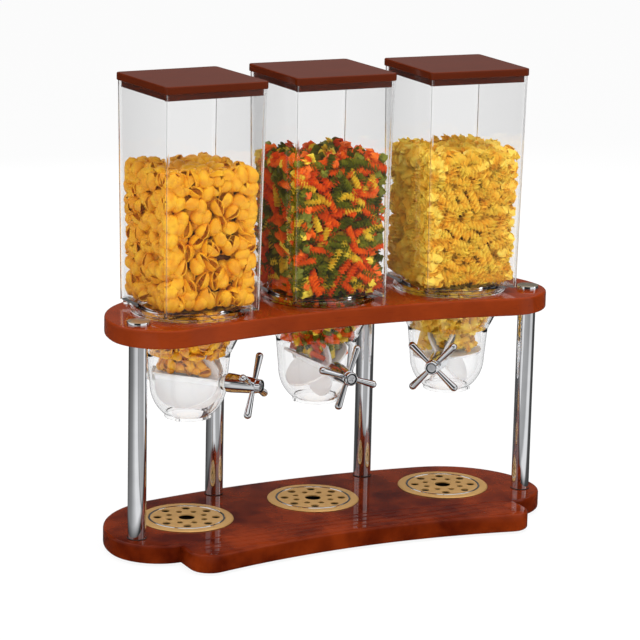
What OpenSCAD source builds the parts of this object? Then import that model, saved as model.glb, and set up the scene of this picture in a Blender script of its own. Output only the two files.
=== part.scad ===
// Table-top gravity food dispenser: three clear square hoppers stand side by side on a
// lacquered wooden shelf, each over a clear bell with a soft paddle wheel that a
// four-spoke handle turns. Four chromed tubes join the shelf to the base board, which
// carries a drip cup with a strainer disc under every outlet.
// The origin is the middle of the footprint, on the surface that the feet stand on.
// +Z is up, the handles face -Y, and left and right are as seen from the front.

/* [Boards] */
// Length of the base board and of the shelf, end to end
board_length = 656; // [640:1:680]
// Depth of the base board, from its back edge to the corners of its front ledge
base_depth = 280; // [276:1:290]
// Depth of the shelf at its middle, also where the long groove crosses the base board
shelf_mid_depth = 192; // [188:1:196]
// Distance from the back edge to the line where both boards are widest
widest_line = 151; // [148:1:158]
// How far the middle of the back edge stands behind the tops of the rounded ends
back_crown = 16; // [10:0.5:30]
// Radius of the rounded board ends in front of that line
end_front_r = 70; // [60:1:76]
// Thickness of the base board
base_thickness = 25; // [22:1:30]
// Thickness of the shelf
shelf_thickness = 25; // [20:1:30]
// Round-over on the edges of both boards
board_edge_r = 3; // [1:0.5:4]

/* [Ledge] */
// Length of the ledge that stands forward of the base board's long groove
ledge_length = 514; // [480:1:516]
// Radius of the ledge's two front corners
ledge_corner_r = 28; // [26:0.5:30]
// How far the ledge's front edge curves in at its middle
ledge_hollow = 25.5; // [20:0.5:26]
// Number of straight flutes cut into the ledge
flute_count = 5; // [3:1:5]
// Distance from the long groove's middle to the first flute
flute_start = 13.5; // [12:0.5:16]
// Spacing of the flutes
flute_pitch = 14.8; // [12:0.1:15]
// Depth of a flute
flute_depth = 1.3; // [0.8:0.1:2]
// Radius of the cutter that leaves a flute
flute_cutter_r = 2.6; // [2.2:0.1:4]
// Distance that the flutes stay clear of the ledge's ends
flute_end_margin = 26; // [20:1:40]
// Distance that the flutes stay clear of the long groove
flute_groove_gap = 11; // [8:0.5:11.5]
// Depth of the long groove between the ledge and the rest of the base board
groove_depth = 2; // [1:0.1:3]

/* [Posts] */
// Clear height between the base board and the shelf
board_gap = 268; // [240:1:300]
// Outer diameter of the chromed tubes
post_d = 25; // [22:0.5:28]
// Wall of the chromed tubes
post_wall = 1.5; // [1:0.1:2.5]
// Distance of each front post from the end of the boards
front_post_inset = 30; // [26:0.5:36]
// How far the front posts stand in front of the line where the boards are widest
front_post_forward = 18; // [10:0.5:24]
// Distance of each back post from the middle
back_post_x = 118; // [110:1:125]
// Distance of the back posts from the middle of the back edge
back_post_inset = 25; // [22:0.5:30]
// Diameter of the cap over each post
cap_d = 31; // [28:0.5:32]
// Height of the cap over each post
cap_height = 5; // [4:0.5:8]
// Diameter of the black washer under each post
washer_d = 26.4; // [26:0.1:29]
// Thickness of the black washer under each post
washer_thickness = 1; // [0.6:0.1:2]
// Length of the threaded plug in each end of a post
plug_length = 18; // [14:1:30]
// Diameter of the bolts and of the studs that hold the posts
bolt_d = 8; // [6:0.5:10]
// Diameter of the heads of the bolts under the base board
bolt_head_d = 13; // [11:0.5:16]
// Height of the heads of the bolts under the base board
bolt_head_height = 5; // [4:0.5:6]
// Diameter across the corners of the hexagon sockets in those heads
bolt_socket_d = 6.4; // [5:0.1:7]
// Depth of those sockets
bolt_socket_depth = 3; // [2:0.1:3.5]
// How far those heads lie inside the board
bolt_head_sink = 1; // [0.5:0.1:3]
// Length of plug that the bolts and the studs leave empty
plug_end_gap = 4; // [1:0.5:8]

/* [Feet] */
// Diameter of the rubber feet
foot_d = 22; // [16:1:26]
// Height of the rubber feet
foot_height = 3; // [2:0.5:6]
// How much narrower the feet are where they stand on the table
foot_taper = 2; // [0:0.5:4]
// Distance of the end feet from the ends of the base board
end_foot_inset = 45; // [36:1:60]
// Distance of each back foot from the middle
back_foot_x = 177; // [150:1:200]
// Distance of the back feet from the middle of the back edge
back_foot_inset = 34; // [30:1:44]

/* [Units] */
// Distance of each outer dispenser's axis from the ends of the boards
outer_unit_inset = 127; // [122:1:132]
// Distance of the middle dispenser's axis from the middle of the back edge
middle_unit_inset = 101.5; // [96:0.5:104]
// How far the two outer dispensers stand in front of the middle one
outer_unit_forward = 14.5; // [8:0.5:18]
// Turn of the outer hoppers towards the middle
hopper_turn = 2.7; // [0:0.1:6]
// Turn of the outer bells, so that their handles point in towards the middle
bell_turn = 41; // [30:1:50]

/* [Hopper] */
// Width of a hopper at its floor, outside
hopper_floor_width = 141.2; // [138:0.1:146]
// Width of a hopper at its rim, outside
hopper_rim_width = 149; // [146:0.1:156]
// Height of a hopper from its floor to its rim
hopper_height = 298.5; // [240:0.5:330]
// Wall of a hopper
hopper_wall = 3; // [2:0.1:3.5]
// Radius of a hopper's upright edges, outside
hopper_edge_r = 4.5; // [4:0.1:8]
// Length of the round spigot under a hopper's floor
spigot_length = 18; // [12:1:24]
// Wall of the spigot
spigot_wall = 2.5; // [2:0.1:3]

/* [Lid] */
// Width of a lid
lid_width = 152.4; // [150:0.1:158]
// Thickness of a lid's plate
lid_thickness = 10.5; // [8:0.5:14]
// Radius of a lid's corners
lid_corner_r = 6; // [4:0.5:10]
// Round-over on a lid's edges
lid_edge_r = 1.6; // [0.8:0.1:2.4]
// Depth of the part of a lid that plugs into the hopper
lid_plug_depth = 9; // [6:0.5:14]
// Radius of that part's corners
lid_plug_corner_r = 3; // [2:0.5:6]

/* [Bell] */
// Wall of a bell
bell_wall = 3; // [2:0.1:4]
// Radius of a bell where it passes through the shelf, outside
neck_r = 73; // [72:0.5:75]
// Distance from the shelf's underside to the lower end of a bell's flare
flare_drop = 31; // [26:0.5:36]
// Radius of a bell at the lower end of its flare, outside
barrel_top_r = 56.8; // [54:0.1:60]
// Distance from the shelf's underside to the centre of a bell's round bowl
bowl_drop = 77; // [74:0.5:80]
// Radius of a bell's round bowl, outside
bowl_r = 52.4; // [51:0.1:54]
// Distance from the shelf's underside to the mouth of the outlet
outlet_drop = 122.5; // [120:0.5:130]
// Radius of the outlet, outside
outlet_r = 32; // [28:0.5:36]
// Width of the step where a bell's flare meets its barrel
flare_step = 1.2; // [0.5:0.1:2]
// Radius of the flange that lies on the shelf
flange_r = 79; // [78:0.5:82]
// Thickness of that flange and of the lug behind it
flange_thickness = 3.5; // [2.5:0.1:5]
// Radius of the collar that a hopper stands on
collar_r = 75.5; // [75:0.1:77]
// Height of that collar above the shelf
collar_height = 8; // [6:0.5:12]
// Distance of a lug's screw from the centre of its bell
lug_reach = 90; // [88:0.5:92]
// Radius of a lug's rounded end
lug_r = 8; // [7:0.5:9]
// Diameter of the screw in each lug
lug_screw_d = 4; // [3:0.5:5]
// Depth of the hole for that screw in the shelf
lug_screw_depth = 14; // [10:0.5:18]
// Diameter of that screw's head
lug_screw_head_d = 8; // [7:0.1:10]
// Height of that screw's head
lug_screw_head_height = 2.2; // [1.5:0.1:3]
// Width of the two grips on an outlet's rim, along the rim
grip_width = 5; // [4:0.5:8]
// Height of those grips
grip_height = 4; // [3:0.5:6]
// How far those grips stand out of the outlet
grip_reach = 2; // [1:0.5:3]

/* [Paddle wheel] */
// Distance from the shelf's underside to the wheel's shaft
shaft_drop = 69; // [68:0.5:72]
// Diameter of the shaft
shaft_d = 8; // [6:0.5:9]
// Number of blades on a paddle wheel, an even number
blade_count = 6; // [4:2:8]
// Thickness of a blade
blade_thickness = 3; // [2:0.1:4]
// Diameter of the sleeve that carries the blades
sleeve_d = 18; // [14:0.5:24]
// Gap between the blades' tips and the bowl
blade_gap = 0.9; // [0.6:0.1:2]
// Diameter of the bushes' flanges
bush_flange_d = 20; // [17:0.5:21]
// Diameter of the bushes where they pass through a bell
bush_d = 14; // [12:0.5:15]
// Thickness of the bushes' flanges
bush_flange_thickness = 3; // [2:0.1:4]

/* [Handle] */
// Length of a handle's hub
hub_length = 50; // [45:0.5:60]
// Diameter of the hub at its bell end
hub_back_d = 26; // [22:0.5:30]
// Diameter of the hub at its front end
hub_front_d = 18.6; // [17.5:0.1:20]
// Distance from the hub's front face back to the centre of the spokes
spoke_setback = 12; // [9:0.5:16]
// Number of spokes
spoke_count = 4; // [3:1:5]
// Distance of the spokes' ball ends from the shaft
spoke_reach = 41; // [35:0.5:50]
// Radius of the spokes' ball ends
spoke_ball_r = 5.2; // [4.5:0.1:6]
// Radius of the spokes at the hub
spoke_root_r = 3.2; // [2.5:0.1:4]
// Diameter of the screw head in the hub's front face
hub_screw_d = 11.6; // [9:0.1:13]
// Height of that screw head
hub_screw_head = 3.4; // [2:0.1:4]
// Diameter of that screw's shank
hub_screw_shank_d = 5; // [4:0.5:6]
// Depth of the hollow in the hub's front face
hub_recess = 4.5; // [3:0.1:6]
// Width of the rim round that hollow
hub_rim = 1.6; // [1:0.1:2]

/* [Drip cups] */
// Radius of a drip cup's flange
cup_flange_r = 64.3; // [60:0.1:67]
// Thickness of that flange
cup_flange_thickness = 1.8; // [1:0.1:3]
// Radius of a drip cup's wall, outside
cup_r = 56; // [54.5:0.1:58]
// Depth of a drip cup below the board's surface
cup_depth = 14; // [10:0.5:17]
// Sheet thickness of a drip cup
cup_sheet = 1.2; // [0.8:0.1:2]
// Radius of a strainer disc
strainer_r = 52.6; // [50:0.1:53]
// Thickness of a strainer disc
strainer_thickness = 1.6; // [1:0.1:2.2]
// Width of the ledge that a strainer disc rests on
strainer_seat = 3; // [2:0.1:4]
// Height of the raised rim round a strainer disc
strainer_rim_height = 0.6; // [0.3:0.1:1]
// Width of that rim, with its slopes
strainer_rim_width = 2.8; // [2:0.1:4]
// Radius of a strainer disc's centre hole
strainer_eye_r = 11.2; // [8:0.1:13]
// Radius of the inner ring that the small holes lie on
inner_ring_r = 25.8; // [22:0.1:27]
// Radius of the holes in the inner ring
inner_hole_r = 4.4; // [3:0.1:5]
// Radius of the outer ring that the larger holes lie on
outer_ring_r = 40; // [37:0.1:42]
// Radius of the holes in the outer ring
outer_hole_r = 5.8; // [4:0.1:6.5]
// Number of holes in each of the two rings round the centre hole
strainer_hole_count = 8; // [6:1:10]

/* [Hidden] */
$fn = 96;

// Colours
mahogany = "#7B2E1A";
lid_brown = "#5C2A1E";
chrome_grey = "#C9CBCE";
black_rubber = "#1C1C1C";
brass_gold = "#CDA05F";
clear_plastic = [0.93, 0.95, 0.97, 0.35];
white_silicone = "#EBEBEE";

// Clearances
shaft_play = 0.05;      // round a turning shaft, on the radius
seat_play = 0.05;       // round what is pushed or screwed into its seat, on the radius
stand_gap = 0.05;       // under the hoppers and the lids, whose faces aren't quite flat
head_play = 1.5;        // round a bolt's head in its counterbore, on the radius
drop_in_play = 0.5;     // round what lifts out by hand, on the radius or the side
end_play = 0.4;         // between a turning hub and the bush behind it
cut = 1;                // how far a cutter runs past the surface it leaves

// Heights
base_top = foot_height + base_thickness;
shelf_bottom = base_top + board_gap;
shelf_top = shelf_bottom + shelf_thickness;
collar_top = shelf_top + collar_height;
hopper_z = collar_top + stand_gap;
rim_top = hopper_z + hopper_height;
shaft_z = shelf_bottom - shaft_drop;
bowl_z = shelf_bottom - bowl_drop;
flare_z = shelf_bottom - flare_drop;
outlet_z = shelf_bottom - outlet_drop;

// Plan of the boards: the arcs below meet in tangents
back_y = base_depth / 2;
widest_y = back_y - widest_line;
end_back_r = widest_line - back_crown;
end_back_x = board_length / 2 - end_back_r;
end_front_x = board_length / 2 - end_front_r;
back_arc_r = (end_back_x ^ 2 + widest_line ^ 2 - end_back_r ^ 2) / (2 * back_crown);
waist_y = back_y - shelf_mid_depth;
waist_r = hollow_arc_r(end_front_x, widest_y - waist_y, end_front_r);
ledge_half = ledge_length / 2;
ledge_corner = [ledge_half - ledge_corner_r, ledge_corner_r - base_depth / 2];
ledge_mid_y = ledge_hollow - base_depth / 2;
ledge_r = hollow_arc_r(ledge_corner.x, ledge_corner.y - ledge_mid_y, ledge_corner_r);

// Places of the posts, the feet and the three dispensers
front_post = [board_length / 2 - front_post_inset, widest_y - front_post_forward];
back_post = [back_post_x, back_y - back_post_inset];
post_spots = [[-front_post.x, front_post.y], front_post, [-back_post.x, back_post.y], back_post];
foot_spots = [for (side = [-1, 1]) each [
    [side * (board_length / 2 - end_foot_inset), widest_y],
    [side * ledge_corner.x, ledge_corner.y],
    [side * back_foot_x, back_y - back_foot_inset]]];
middle_unit_y = back_y - middle_unit_inset;
outer_unit_y = middle_unit_y - outer_unit_forward;
unit_pitch = board_length / 2 - outer_unit_inset;
unit_spots = [[-unit_pitch, outer_unit_y], [0, middle_unit_y], [unit_pitch, outer_unit_y]];
hopper_turns = [hopper_turn, 0, -hopper_turn];
bell_turns = [bell_turn, 0, -bell_turn];
spoke_turns = [-27, -19, 2.5 + 45];     // how each handle happens to stand
blade_turns = [44, 35, 5];              // how each paddle wheel happens to stand

// Bell and what runs in it
neck_inner_r = neck_r - bell_wall;
bowl_inner_r = bowl_r - bell_wall;
wheel_r = bowl_inner_r - blade_gap;
boss_setback = 2;                       // flat face of a boss, short of the barrel's radius
boss_rim = 1;                           // boss round the flange of the bush in it
boss_reach = barrel_top_r - boss_setback;
boss_r = bush_flange_d / 2 + boss_rim;
bush_out = boss_reach + bush_flange_thickness;
bush_overhang = 1;                      // how far a bush reaches into the bowl
bush_in = bowl_inner_r - bush_overhang;
sleeve_gap = 1.5;                       // between the sleeve that carries the blades and a bush
sleeve_half = bush_in - sleeve_gap;
blade_setback = 1.5;                    // how far the blades stop short of the sleeve's ends
blade_half = sleeve_half - blade_setback;
hub_back = bush_out + end_play;
hub_front = hub_back + hub_length;
spoke_plane = hub_front - spoke_setback;
hub_recess_z = hub_front - hub_recess;  // floor of the hollow in the hub's front face
shaft_short = 2.2;                      // how far the shaft ends short of that floor
shaft_front = hub_recess_z - shaft_short;
rear_bush_floor = 2;                    // thickness of the rear bush's closed end
shaft_back = bush_out - rear_bush_floor;
shaft_bore_depth = 14;                  // depth of the threaded hole in the shaft's front end
hub_screw_reach = 10;                   // length of the handle's screw inside the shaft

// Hopper
hopper_floor_half = hopper_floor_width / 2;
hopper_rim_half = hopper_rim_width / 2;
hopper_lean = (hopper_rim_half - hopper_floor_half) / hopper_height;
spigot_r = neck_inner_r - drop_in_play;

// ---- Shapes used by more than one piece ----

// Points on an arc; start at the second one to carry on from a point that is there
function arc(centre, r, from, to, steps, first = 0) =
    [for (k = [first:steps]) centre + r * [cos(from + (to - from) * k / steps),
                                           sin(from + (to - from) * k / steps)]];

// Radius of the hollow arc that passes its middle a given rise below a corner circle's
// centre, a given run away, and meets that circle in a tangent
function hollow_arc_r(run, rise, corner_r) =
    (run ^ 2 + rise ^ 2 - corner_r ^ 2) / (2 * (corner_r - rise));

// A right-hand outline made whole by its mirror image; it starts and ends on the Y axis
function mirrored(half) =
    concat(half, [for (k = [len(half) - 2:-1:1]) [-half[k].x, half[k].y]]);

// Half outline of both boards from an angle on their rounded ends to the middle of the back
// edge, set in by an inset
function end_outline(inset, start_angle, first = 0) =
    let (tangent = atan2(back_arc_r - widest_line, end_back_x))
    concat(
        arc([end_front_x, widest_y], end_front_r - inset, start_angle, 0, 12, first),
        arc([end_back_x, widest_y], end_back_r - inset, 0, tangent, 14, 1),
        arc([0, back_y - back_arc_r], back_arc_r - inset, tangent, 90, 10, 1));

// Angle at which the hollow front edge of the shelf, which the long groove in the base board
// repeats, meets the rounded ends
waist_tangent = atan2(widest_y - waist_y + waist_r, end_front_x);
ledge_tangent = atan2(ledge_corner.y - ledge_mid_y + ledge_r, ledge_corner.x);

// Angle on the rounded end at which the ledge's end wall meets it
function notch_angle(inset) =
    -acos((ledge_half - inset - end_front_x) / (end_front_r - inset));

function shelf_outline(inset) = mirrored(concat(
    arc([0, waist_y - waist_r], waist_r + inset, 90, waist_tangent, 12),
    end_outline(inset, waist_tangent - 180, 1)));

function base_outline(inset) = mirrored(concat(
    arc([0, ledge_mid_y - ledge_r], ledge_r + inset, 90, ledge_tangent, 12),
    arc(ledge_corner, ledge_corner_r - inset, ledge_tangent - 180, 0, 8, 1),
    end_outline(inset, notch_angle(inset))));

// Outline of a square with round corners, set in by an inset
function square_outline(half, corner_r, inset) =
    [for (q = [0:3]) each arc([for (s = [[1, 1], [-1, 1], [-1, -1], [1, -1]][q])
        s * (half - corner_r)], corner_r - inset, 90 * q, 90 * q + 90, 6)];

// Solid through rings of points, all rings with the same even number of points. Each end is
// closed by a fan of triangles round its middle, which sees every point of a hollow outline.
module lofted(rings) {
    n = len(rings[0]);
    last = len(rings) - 1;
    middles = [for (ring = [rings[0], rings[last]]) (ring[0] + ring[n / 2]) / 2];
    low_middle = n * (last + 1);
    high_middle = low_middle + 1;
    polyhedron(
        points = concat([for (ring = rings) each ring], middles),
        faces = [for (k = [0:n - 1]) let (next = (k + 1) % n) each [
            [low_middle, k, next],
            [high_middle, last * n + next, last * n + k],
            for (j = [0:last - 1]) each [
                [j * n + k, (j + 1) * n + k, (j + 1) * n + next],
                [j * n + k, (j + 1) * n + next, j * n + next]]]],
        convexity = 6);
}

// Slab with rounded-over edges; outline is a function of the inset, and each level of the
// round-over is an inset with its height
module slab(thickness, edge_r, outline) {
    levels = [for (a = [0:30:90]) [edge_r * (1 - sin(a)), edge_r * (1 - cos(a))]];
    rings = concat(levels,
        [for (k = [len(levels) - 1:-1:0]) [levels[k][0], thickness - levels[k][1]]]);
    lofted([for (ring = rings) [for (p = outline(ring[0])) [p.x, p.y, ring[1]]]]);
}

// Puts a piece on the axis of one bell's shaft, which runs along the piece's own Z axis
module on_shaft(u) {
    translate([unit_spots[u].x, unit_spots[u].y, shaft_z])
        rotate([0, 0, bell_turns[u]])
            rotate([90, 0, 0])
                children();
}

// Puts a piece on the upright axis of one bell, turned with it
module on_bell(u, z) {
    translate([unit_spots[u].x, unit_spots[u].y, z])
        rotate([0, 0, bell_turns[u]])
            children();
}

// ---- Base board ----

// How far the long groove runs on past the ledge's ends, in degrees of the rounded ends
groove_run_out = 2.8;

// V-shaped groove cut along an arc into the top of the base board
module groove(centre, r, from, to) {
    translate([centre.x, centre.y, base_top])
        rotate([0, 0, from])
            rotate_extrude(angle = to - from, $fn = 720)
                translate([r, 0])
                    polygon([[0, -groove_depth], [groove_depth + cut, cut], [-groove_depth - cut, cut]]);
}

// Straight flute with round ends; it stops short of the long groove and of the ledge's ends
module flute(k) {
    forward = flute_start + k * flute_pitch;
    half = min(ledge_half - flute_end_margin, sqrt(2 * waist_r * (forward - flute_groove_gap)));
    translate([0, waist_y - forward, base_top + flute_cutter_r - flute_depth]) {
        rotate([0, 90, 0])
            cylinder(h = 2 * half, r = flute_cutter_r, center = true);
        for (side = [-1, 1])
            translate([side * half, 0, 0])
                sphere(r = flute_cutter_r);
    }
}

module base_board() {
    groove_end = notch_angle(0) + groove_run_out;
    color(mahogany)
        difference() {
            translate([0, 0, foot_height])
                slab(base_thickness, board_edge_r, function(inset) base_outline(inset));
            for (spot = unit_spots)
                translate([spot.x, spot.y, base_top - cup_depth])
                    cylinder(h = cup_depth + cut, r = cup_r + drop_in_play);
            for (spot = post_spots)
                translate([spot.x, spot.y, foot_height - cut]) {
                    cylinder(h = base_thickness + 2 * cut, d = bolt_d + 2 * drop_in_play);
                    cylinder(h = bolt_head_sink + bolt_head_height + cut, d = bolt_head_d + 2 * head_play);
                }
            groove([0, waist_y - waist_r], waist_r, waist_tangent, 180 - waist_tangent);
            groove([end_front_x, widest_y], end_front_r, waist_tangent - 180, groove_end);
            groove([-end_front_x, widest_y], end_front_r, -180 - groove_end, -waist_tangent);
            for (k = [0:flute_count - 1])
                flute(k);
        }
}

module feet() {
    color(black_rubber)
        for (spot = foot_spots)
            translate([spot.x, spot.y, 0])
                cylinder(h = foot_height, d1 = foot_d - foot_taper, d2 = foot_d);
}

// ---- Shelf ----

module shelf_board() {
    color(mahogany)
        difference() {
            translate([0, 0, shelf_bottom])
                slab(shelf_thickness, board_edge_r, function(inset) shelf_outline(inset));
            for (u = [0:2])
                on_bell(u, shelf_bottom - cut) {
                    cylinder(h = shelf_thickness + 2 * cut, r = neck_r + drop_in_play);
                    translate([0, lug_reach, shelf_thickness + cut - lug_screw_depth])
                        cylinder(h = lug_screw_depth + cut, d = lug_screw_d + 2 * seat_play);
                }
            for (spot = post_spots)
                translate([spot.x, spot.y, shelf_bottom - cut])
                    cylinder(h = shelf_thickness + 2 * cut, d = bolt_d + 2 * drop_in_play);
        }
}

// ---- Posts and what holds them ----

module post(spot) {
    color(chrome_grey)
        translate([spot.x, spot.y, base_top + washer_thickness])
            difference() {
                cylinder(h = board_gap - washer_thickness, d = post_d);
                translate([0, 0, -cut])
                    cylinder(h = board_gap + 2 * cut, d = post_d - 2 * post_wall);
            }
}

// Round plug with a through thread, one in each end of each post
module post_plugs() {
    color(chrome_grey)
        for (spot = post_spots, z = [base_top + washer_thickness, shelf_bottom - plug_length])
            translate([spot.x, spot.y, z])
                difference() {
                    cylinder(h = plug_length, d = post_d - 2 * post_wall - 2 * seat_play);
                    translate([0, 0, -cut])
                        cylinder(h = plug_length + 2 * cut, d = bolt_d + 2 * seat_play);
                }
}

module post_washers() {
    color(black_rubber)
        for (spot = post_spots)
            translate([spot.x, spot.y, base_top])
                difference() {
                    cylinder(h = washer_thickness, d = washer_d);
                    translate([0, 0, -cut])
                        cylinder(h = washer_thickness + 2 * cut, d = bolt_d + 2 * drop_in_play);
                }
}

// Turned cap with a stud that passes down through the shelf into the post's plug
module post_caps() {
    stud = shelf_thickness + plug_length - plug_end_gap;
    stud_r = bolt_d / 2;
    point = 0.8;
    r = cap_d / 2;
    edge = 0.6;
    color(chrome_grey)
        for (spot = post_spots)
            translate([spot.x, spot.y, shelf_top])
                rotate_extrude()
                    polygon([[0, -stud], [stud_r - point, -stud], [stud_r, point - stud],
                        [stud_r, 0], [r, 0], [r, cap_height - edge], [r - edge, cap_height],
                        [0, cap_height]]);
}

// Socket-head bolts that come up through the base board into the posts' lower plugs
module base_bolts() {
    reach = base_thickness + washer_thickness + plug_length - plug_end_gap - bolt_head_sink;
    color(chrome_grey)
        for (spot = post_spots)
            translate([spot.x, spot.y, foot_height + bolt_head_sink])
                difference() {
                    union() {
                        cylinder(h = bolt_head_height, d = bolt_head_d);
                        cylinder(h = reach, d = bolt_d);
                    }
                    translate([0, 0, -cut])
                        cylinder(h = bolt_socket_depth + cut, d = bolt_socket_d, $fn = 6);
                }
}

// ---- Drip cups ----

module drip_cup(u) {
    seat_z = cup_flange_thickness - strainer_thickness;
    opening_r = strainer_r + drop_in_play;
    seat_r = strainer_r - strainer_seat;
    wall_r = cup_r - cup_sheet;
    floor_z = cup_sheet - cup_depth;
    outer_edge = 2;         // chamfer round the floor, outside
    inner_edge = 1.4;       // and inside
    slope = 3;              // height of the cone from the seat out to the wall
    lip = 0.5;              // thickness of the flange at its edge
    lip_slope = 1.4;        // width of the bevel above that edge
    color(brass_gold)
        translate([unit_spots[u].x, unit_spots[u].y, base_top])
            rotate_extrude()
                polygon([[0, -cup_depth], [cup_r - outer_edge, -cup_depth],
                    [cup_r, outer_edge - cup_depth], [cup_r, 0], [cup_flange_r, 0],
                    [cup_flange_r, lip], [cup_flange_r - lip_slope, cup_flange_thickness],
                    [opening_r, cup_flange_thickness], [opening_r, seat_z], [seat_r, seat_z],
                    [seat_r, seat_z - cup_sheet], [wall_r, seat_z - cup_sheet - slope],
                    [wall_r, floor_z + inner_edge], [wall_r - inner_edge, floor_z],
                    [0, floor_z]]);
}

// Punched disc with a raised rim; its holes lie in two rings round a large one
module strainer(u) {
    rings = [[inner_ring_r, inner_hole_r, 0], [outer_ring_r, outer_hole_r, 0.5]];
    rim_top = strainer_thickness + strainer_rim_height;
    rim_r = strainer_r - strainer_rim_width;
    color(brass_gold)
        translate([unit_spots[u].x, unit_spots[u].y, base_top + cup_flange_thickness - strainer_thickness])
            difference() {
                rotate_extrude()
                    polygon([[0, 0], [strainer_r, 0], [strainer_r, strainer_thickness],
                        [strainer_r - strainer_rim_height, rim_top],
                        [rim_r + strainer_rim_height, rim_top],
                        [rim_r, strainer_thickness], [0, strainer_thickness]]);
                translate([0, 0, -cut])
                    cylinder(h = strainer_thickness + 2 * cut, r = strainer_eye_r);
                for (ring = rings, k = [0:strainer_hole_count - 1])
                    rotate([0, 0, (k + ring[2]) * 360 / strainer_hole_count])
                        translate([ring[0], 0, -cut])
                            cylinder(h = strainer_thickness + 2 * cut, r = ring[1]);
            }
}

// ---- Bells ----

// Turned part of a bell, from its bowl's centre up to its collar
module bell_turning(inset, step, top) {
    rotate_extrude()
        polygon([[0, bowl_z], [bowl_r - inset, bowl_z], [barrel_top_r - inset, flare_z],
            [barrel_top_r - inset + step, flare_z], [neck_r - inset, shelf_bottom],
            [neck_r - inset, top], [0, top]]);
}

module bell_outside() {
    bell_turning(0, flare_step, collar_top);
    translate([0, 0, bowl_z])
        sphere(r = bowl_r);
    translate([0, 0, outlet_z])
        cylinder(h = bowl_z - outlet_z, r = outlet_r);
    translate([0, 0, shelf_top])
        cylinder(h = flange_thickness, r = flange_r);
    translate([0, 0, shelf_top])
        cylinder(h = collar_height, r = collar_r);
    // two small grips on the outlet's rim
    for (side = [-1, 1])
        translate([side * outlet_r, 0, outlet_z + grip_height / 2])
            cube([2 * grip_reach, grip_width, grip_height], center = true);
    // lug behind the flange, screwed down to the shelf
    translate([0, 0, shelf_top])
        linear_extrude(flange_thickness)
            union() {
                translate([0, lug_reach])
                    circle(r = lug_r);
                translate([-lug_r, 0])
                    square([2 * lug_r, lug_reach]);
            }
    // bosses that hold the two bushes
    translate([0, 0, shaft_z])
        rotate([90, 0, 0])
            cylinder(h = 2 * boss_reach, r = boss_r, center = true);
}

module bell(u) {
    color(clear_plastic)
        on_bell(u, 0)
            difference() {
                bell_outside();
                bell_turning(bell_wall, 0, collar_top + cut);
                translate([0, 0, bowl_z])
                    sphere(r = bowl_inner_r);
                translate([0, 0, outlet_z - cut - bowl_r])
                    cylinder(h = cut + bowl_r, r = bowl_r);
                translate([0, 0, outlet_z - cut])
                    cylinder(h = bowl_z - outlet_z, r = outlet_r - bell_wall);
                translate([0, 0, shaft_z])
                    rotate([90, 0, 0])
                        cylinder(h = 2 * (boss_reach + cut), d = bush_d, center = true);
                translate([0, lug_reach, shelf_top - cut])
                    cylinder(h = flange_thickness + 2 * cut, d = lug_screw_d + 2 * drop_in_play);
            }
}

module bell_screws() {
    color(chrome_grey)
        for (u = [0:2])
            on_bell(u, shelf_top + flange_thickness)
                translate([0, lug_reach, 0]) {
                    cylinder(h = lug_screw_head_height, d1 = lug_screw_head_d,
                        d2 = lug_screw_head_d - lug_screw_head_height);
                    translate([0, 0, -lug_screw_depth])
                        cylinder(h = lug_screw_depth + lug_screw_head_height / 2, d = lug_screw_d);
                }
}

// ---- Bushes, shaft and paddle wheel ----

// Flanged bush from the inner end of its sleeve to the outer face of its flange
module bush_blank() {
    translate([0, 0, bush_in])
        cylinder(h = bush_out - bush_in, d = bush_d - 2 * seat_play);
    translate([0, 0, boss_reach])
        cylinder(h = bush_flange_thickness, d = bush_flange_d);
}

module front_bush(u) {
    color(white_silicone)
        on_shaft(u)
            difference() {
                bush_blank();
                cylinder(h = bush_out + cut, d = shaft_d + 2 * shaft_play);
            }
}

// The rear bush is closed outside, so that nothing shows behind the bell
module rear_bush(u) {
    color(white_silicone)
        on_shaft(u)
            mirror([0, 0, 1])
                difference() {
                    bush_blank();
                    cylinder(h = shaft_back + end_play, d = shaft_d + 2 * shaft_play);
                }
}

module shaft(u) {
    color(chrome_grey)
        on_shaft(u)
            difference() {
                translate([0, 0, -shaft_back])
                    cylinder(h = shaft_back + shaft_front, d = shaft_d);
                translate([0, 0, shaft_front - shaft_bore_depth])
                    cylinder(h = shaft_bore_depth + cut, d = hub_screw_shank_d + 2 * seat_play);
            }
}

// Outline of a blade and its opposite in one: round as the bowl, cut off short of the
// sleeve's ends
module blade_pair() {
    intersection() {
        circle(r = wheel_r);
        square([2 * wheel_r + cut, 2 * blade_half], center = true);
    }
}

// Soft wheel: flat round-ended blades on a sleeve that is pushed onto the shaft
module paddle_wheel(u) {
    color(white_silicone)
        on_shaft(u)
            rotate([0, 0, blade_turns[u]])
                difference() {
                    union() {
                        cylinder(h = 2 * sleeve_half, d = sleeve_d, center = true);
                        for (k = [0:blade_count / 2 - 1])
                            rotate([0, 0, k * 360 / blade_count])
                                rotate([90, 0, 0])
                                    linear_extrude(blade_thickness, center = true)
                                        blade_pair();
                    }
                    cylinder(h = 2 * wheel_r, d = shaft_d + 2 * seat_play, center = true);
                }
}

// ---- Handles ----

// Tapered spoke with a ball end, turned in one piece; it starts inside the hub's wall
module spoke() {
    start = (shaft_d + hub_front_d) / 4;
    rotate([0, 90, 0])
        rotate_extrude()
            intersection() {
                union() {
                    polygon([[0, start], [spoke_root_r, start],
                        [spoke_ball_r, spoke_reach], [0, spoke_reach]]);
                    translate([0, spoke_reach])
                        circle(r = spoke_ball_r);
                }
                translate([0, start])
                    square([spoke_ball_r + cut, spoke_reach]);
            }
}

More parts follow.
